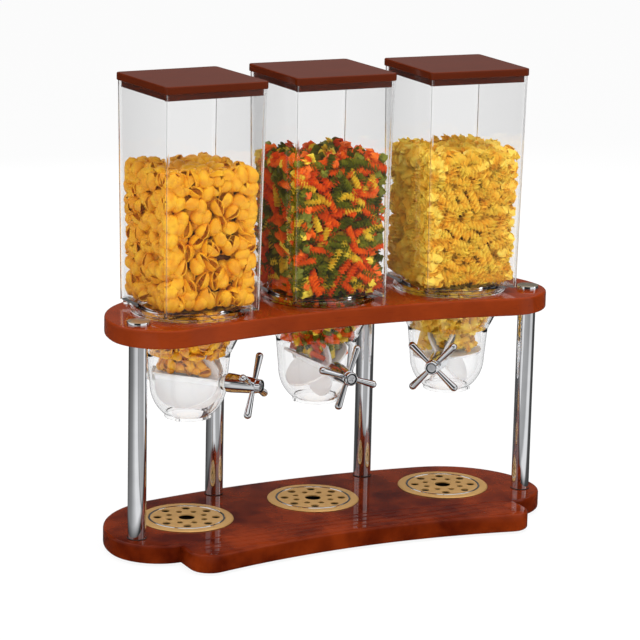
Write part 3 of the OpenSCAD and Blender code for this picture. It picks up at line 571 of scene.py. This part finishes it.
# How the heap is laid, in shares of the pitch from one piece to the next:
WALL_LAYERS = (0, 1.07)      # the two layers beside the walls, by how far inside them they lie
TOP_LAYERS = (0.9, 0.35)     # the two upper layers, by how far under the top they lie
CORE_SUNK = 1.2              # the middle ends this far under the top
STRAY, STRAY_UP = 0.3, 0.45  # how far a piece lies off its place, sideways and up or down
APART_LEAST = 0.4            # no two pieces in a bell lie closer
ROWS_CLOSE, COLUMNS_CLOSE = 1.1, 1.05        # rows and columns beside the walls in each pitch
FIRST_ROW = 0.3              # height of the lowest row, as a share of a row
ROW_STAGGER = 0.25           # how far the rows are shifted by turns, as a share of a column
WHEEL_CLEAR_R = 47.6 * MM    # food that turns with the wheel stays inside this ball
THROAT_CLEAR_R = 49.4 * MM   # food in the throat stays outside this ball
WHEEL_FOOD_LOW = 13 * MM     # food lies in the wheel from this far above its axis
THROAT_FOOD_LOW = 0.75 * WHEEL_CLEAR_R       # and in the throat from this far
THROAT_HALF = 64 * MM        # half the width of the space that is tried for the throat
CEILING_GAP = 3 * MM         # gap between the food in the throat and the floor above it
BELL_FOOD_SIZE = (0.5, 0.9)  # food in a bell is drawn smaller, because little fits whole
WHEEL_TRIES, THROAT_TRIES = 14000, 9000      # spots tried; most are taken or too tight
PASTA_YELLOW = "#FABC22"
PASTA_YELLOW_DEEP = "#EC9C12"
PASTA_TONE = 14 * MM         # size of the patches of lighter and deeper dough
PASTA_GRAIN = 0.8 * MM       # bumps of the dried skin
hopper_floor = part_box("left_hopper")[0].z + SPIGOT_AND_FLOOR


def dry_pasta(name, colour, deep):
    """Dried dough: an even colour with deeper patches, half matt and a little rough."""
    material, tree, shader = new_finish(name, {"Roughness": 0.42, "Specular IOR Level": 0.35})
    place_in = add_node(tree, "ShaderNodeTexCoord", {}).outputs["Object"]
    tone = add_node(tree, "ShaderNodeTexNoise",
                    {"Vector": place_in, "Scale": 1 / PASTA_TONE, "Detail": 2}).outputs[0]
    patchy = add_node(tree, "ShaderNodeMapRange",
                      {"Value": tone, "From Min": 0.35, "From Max": 0.65}).outputs[0]
    dough = add_node(tree, "ShaderNodeMix",
                     {0: patchy, 6: linear(colour), 7: linear(deep)}, data_type="RGBA").outputs[2]
    speck = add_node(tree, "ShaderNodeTexNoise",
                     {"Vector": place_in, "Scale": 1 / PASTA_GRAIN, "Detail": 2}).outputs[0]
    skin = add_node(tree, "ShaderNodeBump",
                    {"Height": speck, "Strength": 0.2, "Distance": 0.1 * MM}).outputs[0]
    tree.links.new(dough, shader.inputs["Base Color"])
    tree.links.new(skin, shader.inputs["Normal"])
    return material


def shell_form():
    """One shell: a ball slit along its front, drawn out and narrower at its tail."""
    form = bmesh.new()
    a_side_forward = Matrix.Rotation(math.radians(-90 - 180 / SHELL_SIDES), 4, "Z")
    bmesh.ops.create_uvsphere(form, u_segments=SHELL_SIDES, v_segments=SHELL_BANDS, radius=1,
                              matrix=a_side_forward)
    slit = [face for face in form.faces
            if face.calc_center_median().y < -abs(face.calc_center_median().x) * SLIT_SLOPE]
    bmesh.ops.delete(form, geom=slit, context="FACES")
    for vert in form.verts:
        narrow = 1 - SHELL_TAPER * vert.co.z
        vert.co = (vert.co.x * narrow * SHELL_WIDE / 2, vert.co.y * narrow * SHELL_WIDE / 2,
                   vert.co.z * SHELL_LONG / 2)
    bmesh.ops.recalc_face_normals(form, faces=form.faces)
    bmesh.ops.solidify(form, geom=form.faces[:], thickness=SHELL_WALL)
    bmesh.ops.recalc_face_normals(form, faces=form.faces)
    smooth_between(form, SHELL_SHARP)
    return form


def any_turn(chance):
    """A turn by any angle about each of the three axes."""
    spin = Euler([chance.uniform(0, 2 * math.pi) for _ in range(3)])
    return spin.to_matrix()


def shells_on(chance, wall):
    """A turn for a shell against a wall or on top, in degrees: some show their slit."""
    roll = chance.uniform(-40, 40) if chance.random() < SLIT_SHOWN else chance.uniform(60, 300)
    turn = (Matrix.Rotation(chance.uniform(0, 2 * math.pi), 3, "Y")
            @ Matrix.Rotation(math.radians(chance.uniform(-25, 25)), 3, "X")
            @ Matrix.Rotation(math.radians(roll), 3, "Z"))
    if wall is None:
        return Matrix.Rotation(math.radians(chance.uniform(-125, -55)), 3, "X") @ turn
    return wall @ turn


def add_piece(heap, form, turn, spot, tone):
    """Adds one turned copy of a form to a heap, all in one tone."""
    copy = form.copy()
    copy.transform(Matrix.Translation(spot) @ turn.to_4x4())
    for face in copy.faces:
        face.material_index = tone
    loose = bpy.data.meshes.new("loose")
    copy.to_mesh(loose)
    copy.free()
    heap.from_mesh(loose)
    bpy.data.meshes.remove(loose)


def hopper_food(side, form, pitch, top, turn_of, tones, chance):
    """Loose food in a hopper: two layers on its walls, two on top, and a middle painted as shade.
    """
    low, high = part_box(side + "_hopper")
    centre = unit_centres[side]
    square_up = Matrix.Rotation(math.radians(HOPPER_TURNS[side]), 4, "Z")
    to_world = Matrix.Translation((centre.x, centre.y, 0)) @ square_up

    def inner_half(z):
        rise = (z - hopper_floor) / (high.z - hopper_floor)
        return HOPPER_FLOOR_HALF + (HOPPER_RIM_HALF - HOPPER_FLOOR_HALF) * rise - HEAP_PLAY

    def heap_top(x, y):
        return top + HEAP_CROWN * (1 - max(abs(x), abs(y)) / HOPPER_FLOOR_HALF) ** CROWN_BEND

    heap = bmesh.new()

    def drop(x, y, z, wall):
        turn = turn_of(chance, wall)
        corners = [turn @ vert.co for vert in form.verts]
        spot = Vector((x, y, z))
        spot.z = max(spot.z, hopper_floor + HEAP_PLAY - min(corner.z for corner in corners))
        reach = inner_half(spot.z - pitch / 2)
        for axis in (0, 1):
            spot[axis] = min(spot[axis], reach - max(corner[axis] for corner in corners))
            spot[axis] = max(spot[axis], -reach - min(corner[axis] for corner in corners))
        add_piece(heap, form, turn, spot, chance.choice(tones))

    width = 2 * HOPPER_FLOOR_HALF
    filled = top - hopper_floor
    rows = round(ROWS_CLOSE * filled / pitch)
    columns = round(COLUMNS_CLOSE * width / pitch)
    for inset in WALL_LAYERS:
        for quarter in range(4):
            wall = Matrix.Rotation(math.radians(90 * quarter), 3, "Z")
            for row in range(rows + 1):
                for column in range(columns):
                    along_row = column + 0.5 + ROW_STAGGER * (-1) ** row
                    aside = (along_row / columns - 0.5) * width
                    aside += chance.uniform(-STRAY, STRAY) * pitch
                    z = hopper_floor + (row + FIRST_ROW) * filled / (rows + FIRST_ROW)
                    z = min(z + chance.uniform(-STRAY_UP, STRAY_UP) * pitch, top)
                    x, y, _ = wall @ Vector((aside, inset * pitch - inner_half(z), 0))
                    drop(x, y, z, wall)
    count = int(width / pitch)
    for sunk in TOP_LAYERS:
        for row in range(count):
            for column in range(count):
                x = ((column + 0.5) / count - 0.5) * width
                y = ((row + 0.5) / count - 0.5) * width
                x += chance.uniform(-STRAY, STRAY) * pitch
                y += chance.uniform(-STRAY, STRAY) * pitch
                drop(x, y, heap_top(x, y) - sunk * pitch, None)
    # The middle: one box in the last finish, painted dark as the shade between pieces deep in the
    # heap.
    middle = bmesh.new()
    bmesh.ops.create_cube(middle, size=1)
    half = HOPPER_FLOOR_HALF - CORE_INSET
    tall = top - CORE_SUNK * pitch - hopper_floor
    middle.transform(Matrix.Translation((0, 0, hopper_floor + HEAP_PLAY + tall / 2))
                     @ Matrix.Diagonal((2 * half, 2 * half, tall, 1)))
    add_piece(heap, middle, Matrix.Identity(3), Vector((0, 0, 0)), max(tones) + 1)
    middle.free()
    heap.transform(to_world)
    return heap


def bell_food(side, form, pitch, tones, chance, turning):
    """Loose food in a bell's throat, or in the upper pockets of its wheel, clear of both."""
    centre = unit_centres[side]
    low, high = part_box(side + "_paddle_wheel")
    hub = Vector((centre.x, centre.y, (low.z + high.z) / 2))
    ceiling = hopper_floor - CEILING_GAP - hub.z
    walls = [BVHTree.FromBMesh(refined(side + node, BELL_SHARP))
             for node in ("_bell", "_paddle_wheel", "_shaft", "_hopper")]
    heap = bmesh.new()
    taken = []
    for _ in range(WHEEL_TRIES if turning else THROAT_TRIES):
        spread = WHEEL_CLEAR_R if turning else THROAT_HALF
        spot = Vector((chance.uniform(-spread, spread), chance.uniform(-spread, spread),
                       chance.uniform(WHEEL_FOOD_LOW, spread) if turning
                       else chance.uniform(THROAT_FOOD_LOW, ceiling)))
        if any((spot - other).length < APART_LEAST * pitch for other in taken):
            continue
        turn = any_turn(chance) * chance.uniform(*BELL_FOOD_SIZE)
        corners = [spot + turn @ vert.co for vert in form.verts]
        if turning:
            kept = max(corner.length for corner in corners) < WHEEL_CLEAR_R
        else:
            kept = (min(corner.length for corner in corners) > THROAT_CLEAR_R
                    and max(corner.z for corner in corners) < ceiling)
        if not kept:
            continue
        level = Vector((hub.x, hub.y, hub.z + spot.z))
        sideways = Vector((spot.x, spot.y, 0))
        if not turning and walls[0].ray_cast(level, sideways, sideways.length)[0]:
            continue
        trial = form.copy()
        trial.transform(Matrix.Translation(hub + spot) @ turn.to_4x4())
        tried = BVHTree.FromBMesh(trial)
        trial.free()
        if any(wall.overlap(tried) for wall in walls):
            continue
        taken.append(spot)
        add_piece(heap, form, turn, hub + spot, chance.choice(tones))
    return heap


shell = shell_form()
# The second finish is painted shade, for the middle of the heap.
shell_finishes = [dry_pasta("Dry pasta shell", PASTA_YELLOW, PASTA_YELLOW_DEEP),
                  dry_pasta("Shaded pasta shell", "#6A3C05", "#502C03")]
chance = random.Random(11)
place("pasta_shells_in_hopper",
      hopper_food("left", shell, SHELL_PITCH, SHELL_TOP, shells_on, [0], chance),
      "left_hopper", shell_finishes)
place("pasta_shells_in_throat", bell_food("left", shell, SHELL_PITCH, [0], chance, False),
      "stand", shell_finishes)
place("pasta_shells_in_wheel", bell_food("left", shell, SHELL_PITCH, [0], chance, True),
      "left_rotor", shell_finishes)

# ---- Pasta spirals ----
# The dry food in the other two dispensers: pasta spirals with three ridges, cut from a
# twisted strand. The middle one holds plain, tomato and spinach dough, the right one plain.
SPIRAL_LONG = 31 * MM
FINE_R, FINE_TWIST = 6.2 * MM, 780       # the mixed kind: slim; degrees from end to end
OPEN_R, OPEN_TWIST = 7.4 * MM, 600       # the plain kind: wider, and less twisted
SPIRAL_STEPS = 24            # steps in which the strand is drawn up and turned
SPIRAL_PITCH = 16 * MM
MIXED_TOP = 515 * MM
PLAIN_TOP = 513 * MM


def spiral_form(radius, twist):
    """One spiral: a triangle drawn up and turned, closed at both ends."""
    form = bmesh.new()
    bmesh.ops.create_circle(form, cap_ends=True, segments=3, radius=radius)
    bmesh.ops.spin(form, geom=form.verts[:] + form.edges[:] + form.faces[:], cent=(0, 0, 0),
                   axis=(0, 0, 1), dvec=(0, 0, SPIRAL_LONG / SPIRAL_STEPS),
                   angle=math.radians(twist), steps=SPIRAL_STEPS, use_duplicate=False)
    bmesh.ops.holes_fill(form, edges=form.edges[:])
    bmesh.ops.translate(form, verts=form.verts, vec=(0, 0, -SPIRAL_LONG / 2))
    bmesh.ops.remove_doubles(form, verts=form.verts, dist=MERGE)
    bmesh.ops.recalc_face_normals(form, faces=form.faces)
    return deepest(form)


def deepest(form):
    """The form with each flank folded along the diagonal that cuts the deeper valley."""
    folded = []
    for diagonal in ("FIXED", "ALTERNATE"):
        trial = form.copy()
        bmesh.ops.triangulate(trial, faces=trial.faces, quad_method=diagonal)
        folded.append(trial)
    form.free()
    return min(folded, key=lambda trial: abs(trial.calc_volume()))


def lying(chance, wall):
    """A turn that lays a spiral along a wall, or along the top of the heap."""
    slope = Matrix.Rotation(math.radians(chance.choice((-1, 1)) * chance.uniform(15, 90)), 3, "Y")
    lean = Matrix.Rotation(math.radians(chance.uniform(-14, 14)), 3, "X")
    roll = Matrix.Rotation(chance.uniform(0, 2 * math.pi), 3, "Z")
    if wall is None:
        flat = Matrix.Rotation(math.radians(90 + chance.uniform(-35, 35)), 3, "X")
        return Matrix.Rotation(chance.uniform(0, 2 * math.pi), 3, "Z") @ flat @ roll
    return wall @ slope @ lean @ roll


# The last finish of each list is painted shade, for the middle of the heap.
mixed_finishes = [dry_pasta("Plain pasta spiral", "#FFEA50", "#F6CE30"),
                  dry_pasta("Tomato pasta spiral", "#FF7E18", "#F0640C"),
                  dry_pasta("Spinach pasta spiral", "#8A8A1C", "#666A10"),
                  dry_pasta("Shaded mixed pasta", "#3A2A08", "#241C08")]
plain_finishes = [dry_pasta("Golden pasta spiral", "#FFE45E", "#FFCC42"),
                  dry_pasta("Shaded golden pasta", "#7E5208", "#654106")]
for side, spiral, top, finishes, tones in (
        ("middle", spiral_form(FINE_R, FINE_TWIST), MIXED_TOP, mixed_finishes, [0, 1, 1, 2, 2]),
        ("right", spiral_form(OPEN_R, OPEN_TWIST), PLAIN_TOP, plain_finishes, [0])):
    chance = random.Random(len(finishes))
    place("pasta_spirals_in_hopper_" + side,
          hopper_food(side, spiral, SPIRAL_PITCH, top, lying, tones, chance),
          side + "_hopper", finishes)
    place("pasta_spirals_in_throat_" + side,
          bell_food(side, spiral, SPIRAL_PITCH, tones, chance, False), "stand", finishes)
    place("pasta_spirals_in_wheel_" + side,
          bell_food(side, spiral, SPIRAL_PITCH, tones, chance, True), side + "_rotor",
          finishes)

# ---- Lids ----
# Moulded lids in the boards' brown, smooth and rounded at their edges. The lower half of
# each plugs into its hopper, and nothing else holds it.
LID_BROWN = "#521C06"
LID_MOTTLE = 40 * MM         # size of the faint patches in the moulding
LID_SHARP = 50


def lid_finish():
    """Moulded plastic, smooth and thinly glossy, with tops that mirror the room faintly."""
    material, tree, shader = new_finish("Smooth brown plastic", {
        "Roughness": 0.08, "Specular IOR Level": 0.15})
    place_in = add_node(tree, "ShaderNodeTexCoord", {}).outputs["Object"]
    mottle = add_node(tree, "ShaderNodeTexNoise",
                      {"Vector": place_in, "Scale": 1 / LID_MOTTLE, "Detail": 4}).outputs[0]
    brown = add_node(tree, "ShaderNodeMix",
                     {0: mottle, 6: linear(LID_BROWN), 7: shaded(LID_BROWN, 0.75)},
                     data_type="RGBA").outputs[2]
    tree.links.new(brown, shader.inputs["Base Color"])
    return material


lid_brown = lid_finish()
for side in SIDES:
    level_faces(place(side + "_brown_lid", refined(side + "_lid", LID_SHARP), side + "_lid",
                      [lid_brown], [side + "_lid"]))

# ---- Studio ----
# A white floor and room, soft lamps above, in front and behind, and the camera where the
# photograph was taken from. Metal and lacquer mirror a room and a floor with bright and dark
# parts in place of the white ones, which draws the bands on the tubes.
FLOOR_REACH = 6.0            # metres from the middle to an edge
FLOOR_WHITE = 0.8
FLOOR_SEEN = 0.9             # share of the floor's look that is plain white
ROOM_LEVEL = 0.8             # how strongly the room lights matt surfaces
DARK_LEVEL = 0.04            # what the mirrored room and floor show where they are dark
LOW_FROM, LOW_TO = 0.28, 0.34        # rise (sine) over which the mirrored walls end
HIGH_FROM, HIGH_TO = 0.54, 0.62      # and over which the bright ceiling starts
NEAR_HALF = 0.2              # half the length of a line under the base board, in metres
NEAR_FROM, NEAR_TO = 0.19, 0.26      # over this distance from it the mirrored floor gets bright
FAR_FROM, FAR_TO = 0.95, 1.3         # and over this one from the middle it gets dimmer again
FAR_LEVEL = 0.8
# Turn about Z from -X, as a share of a full turn, and how bright the floor or wall is there.
WALL_ROUND = (
    (0.000, 1.0), (0.060, 1.0), (0.085, 0.03), (0.235, 0.03), (0.260, 1.0), (0.390, 1.0),
    (0.420, 0.06), (0.640, 0.12), (0.674, 0.14), (0.700, 0.12), (0.833, 0.05), (0.870, 0.9))
FLOOR_ROUND = (
    (0.000, 0.30), (0.008, 0.34), (0.045, 0.60), (0.085, 1.0), (0.135, 1.0), (0.150, 0.70),
    (0.158, 0.20), (0.168, 0.55), (0.205, 0.50), (0.330, 0.45), (0.365, 1.0), (0.425, 1.0),
    (0.445, 0.10), (0.522, 0.05), (0.640, 0.12), (0.674, 0.14), (0.700, 0.12), (0.833, 0.05),
    (0.927, 0.20), (1.000, 0.30))
# The camera, fitted to the photograph: metres, degrees and pixels.
CAMERA_AT = (-1.6949, -3.2654, 1.1663)
CAMERA_YAW = 27.196
CAMERA_PITCH = 12.086
CAMERA_ROLL = 1.285
FOCAL_PX = 2751.3
FRAME_PX = 640
SHIFT_PX = -60
SENSOR_MM = 36


def mirrored_round(tree, outward, levels):
    """How bright a wall or the floor looks in a mirror, by the direction it lies in."""
    turn = add_node(tree, "ShaderNodeTexGradient", {"Vector": outward}, gradient_type="RADIAL")
    bands = add_node(tree, "ShaderNodeValToRGB", {"Fac": turn.outputs["Fac"]})
    ramp = bands.color_ramp
    while len(ramp.elements) < len(levels):
        ramp.elements.new(0.5)
    for element, (position, share) in zip(ramp.elements, levels):
        element.position = position
        element.color = (share, share, share, 1)
    return bands.outputs["Color"]


white_room = bpy.data.worlds.new("White room")
bpy.context.scene.world = white_room
white_room.use_nodes = True
room = white_room.node_tree
background = room.nodes["Background"]
outward = add_node(room, "ShaderNodeTexCoord", {}).outputs["Generated"]
rise = add_node(room, "ShaderNodeSeparateXYZ", {"Vector": outward}).outputs["Z"]
low = add_node(room, "ShaderNodeMapRange",
               {"Value": rise, "From Min": LOW_FROM, "From Max": LOW_TO,
                "To Min": 1.0, "To Max": 0.0}).outputs[0]
high = add_node(room, "ShaderNodeMapRange",
                {"Value": rise, "From Min": HIGH_FROM, "From Max": HIGH_TO}).outputs[0]
walls = add_node(room, "ShaderNodeMix",
                 {0: low, 2: DARK_LEVEL, 3: mirrored_round(room, outward, WALL_ROUND)}).outputs[0]
mirrored = add_node(room, "ShaderNodeMix", {0: high, 2: walls, 3: 1.0}).outputs[0]
rays = add_node(room, "ShaderNodeLightPath", {})
seen = add_node(room, "ShaderNodeMath",
                {0: rays.outputs["Is Camera Ray"], 1: rays.outputs["Is Transmission Ray"]},
                operation="MAXIMUM").outputs[0]
lit = add_node(room, "ShaderNodeMix",
               {0: rays.outputs["Is Glossy Ray"], 2: ROOM_LEVEL, 3: mirrored}).outputs[0]
strength = add_node(room, "ShaderNodeMix", {0: seen, 2: lit, 3: 1.0}).outputs[0]
background.inputs["Color"].default_value = (1, 1, 1, 1)
room.links.new(strength, background.inputs["Strength"])

floor_mesh = bmesh.new()
bmesh.ops.create_grid(floor_mesh, x_segments=1, y_segments=1, size=FLOOR_REACH)
floor_data = bpy.data.meshes.new("floor")
floor_mesh.to_mesh(floor_data)
floor = bpy.data.objects.new("floor", floor_data)
bpy.context.scene.collection.objects.link(floor)
white_floor, floor_tree, floor_shader = new_finish("White floor", {
    "Base Color": (FLOOR_WHITE, FLOOR_WHITE, FLOOR_WHITE, 1), "Roughness": 1.0,
    "Specular IOR Level": 0.0})
floor_rays = add_node(floor_tree, "ShaderNodeLightPath", {})
floor_seen = add_node(floor_tree, "ShaderNodeMath",
                      {0: floor_rays.outputs["Is Camera Ray"],
                       1: floor_rays.outputs["Is Transmission Ray"]},
                      operation="MAXIMUM").outputs[0]
floor_share = add_node(floor_tree, "ShaderNodeMath", {0: floor_seen, 1: FLOOR_SEEN},
                       operation="MULTIPLY").outputs[0]
floor_mirrored = add_node(floor_tree, "ShaderNodeMath",
                          {0: floor_rays.outputs["Is Glossy Ray"],
                           1: floor_rays.outputs["Is Transmission Ray"]},
                          operation="SUBTRACT", use_clamp=True).outputs[0]
floor_shown = add_node(floor_tree, "ShaderNodeMath", {0: floor_share, 1: floor_mirrored},
                       operation="MAXIMUM").outputs[0]
floor_place = add_node(floor_tree, "ShaderNodeTexCoord", {}).outputs["Object"]
distance = add_node(floor_tree, "ShaderNodeVectorMath", {0: floor_place},
                    operation="LENGTH").outputs["Value"]
folded = add_node(floor_tree, "ShaderNodeVectorMath", {0: floor_place},
                  operation="ABSOLUTE").outputs[0]
past_end = add_node(floor_tree, "ShaderNodeVectorMath", {0: folded, 1: (NEAR_HALF, 0, 0)},
                    operation="SUBTRACT").outputs[0]
beside = add_node(floor_tree, "ShaderNodeVectorMath", {0: past_end, 1: (0, 0, 0)},
                  operation="MAXIMUM").outputs[0]
from_board = add_node(floor_tree, "ShaderNodeVectorMath", {0: beside},
                      operation="LENGTH").outputs["Value"]
near = add_node(floor_tree, "ShaderNodeMapRange",
                {"Value": from_board, "From Min": NEAR_FROM, "From Max": NEAR_TO}).outputs[0]
far = add_node(floor_tree, "ShaderNodeMapRange",
               {"Value": distance, "From Min": FAR_FROM, "From Max": FAR_TO,
                "To Min": 1.0, "To Max": FAR_LEVEL}).outputs[0]
ring = add_node(floor_tree, "ShaderNodeMath", {0: near, 1: far}, operation="MULTIPLY").outputs[0]
floor_bright = add_node(floor_tree, "ShaderNodeMix",
                        {0: ring, 2: DARK_LEVEL,
                         3: mirrored_round(floor_tree, floor_place, FLOOR_ROUND)}).outputs[0]
floor_level = add_node(floor_tree, "ShaderNodeMix",
                       {0: floor_mirrored, 2: 1.0, 3: floor_bright}).outputs[0]
floor_white = add_node(floor_tree, "ShaderNodeEmission",
                       {"Color": (1, 1, 1, 1), "Strength": floor_level})
floor_mix = add_node(floor_tree, "ShaderNodeMixShader",
                     {0: floor_shown, 1: floor_shader.outputs[0], 2: floor_white.outputs[0]})
floor_tree.links.new(floor_mix.outputs[0], floor_tree.nodes["Material Output"].inputs["Surface"])
floor_data.materials.append(white_floor)


def soft_lamp(name, at, aim, size, watts, mirrored):
    lamp_data = bpy.data.lights.new(name, "AREA")
    lamp_data.shape = "RECTANGLE"
    lamp_data.size, lamp_data.size_y = size
    lamp_data.energy = watts
    lamp = bpy.data.objects.new(name, lamp_data)
    bpy.context.scene.collection.objects.link(lamp)
    lamp.location = at
    lamp.rotation_euler = (Vector(aim) - Vector(at)).to_track_quat("-Z", "Y").to_euler()
    lamp.visible_camera = lamp.visible_transmission = False
    lamp.visible_glossy = mirrored
    return lamp


# Name, place, what it points at, width and height in metres, watts, and whether it is mirrored.
soft_lamp("overhead", (0.0, -0.3, 2.2), (0, 0, 0.3), (2.2, 1.6), 58, False)
soft_lamp("front_left", (-1.9, -1.9, 1.3), (0, 0, 0.3), (0.9, 1.6), 10, False)
soft_lamp("back", (0.4, 2.4, 1.2), (0, 0, 0.1), (2.4, 1.2), 46, False)
soft_lamp("front_right", (2.0, -1.4, 1.1), (0, 0, 0.3), (0.5, 1.6), 4, True)

camera_data = bpy.data.cameras.new("camera")
camera_data.sensor_width = SENSOR_MM
camera_data.lens = FOCAL_PX / FRAME_PX * SENSOR_MM
camera_data.shift_y = SHIFT_PX / FRAME_PX
camera_data.clip_end = 50
camera = bpy.data.objects.new("camera", camera_data)
bpy.context.scene.collection.objects.link(camera)
turn = (Matrix.Rotation(math.radians(-CAMERA_YAW), 4, "Z")
        @ Matrix.Rotation(math.radians(90 - CAMERA_PITCH), 4, "X")
        @ Matrix.Rotation(math.radians(CAMERA_ROLL), 4, "Z"))
camera.matrix_world = Matrix.Translation(CAMERA_AT) @ turn
bpy.context.scene.camera = camera
bpy.context.scene.view_settings.view_transform = "Standard"
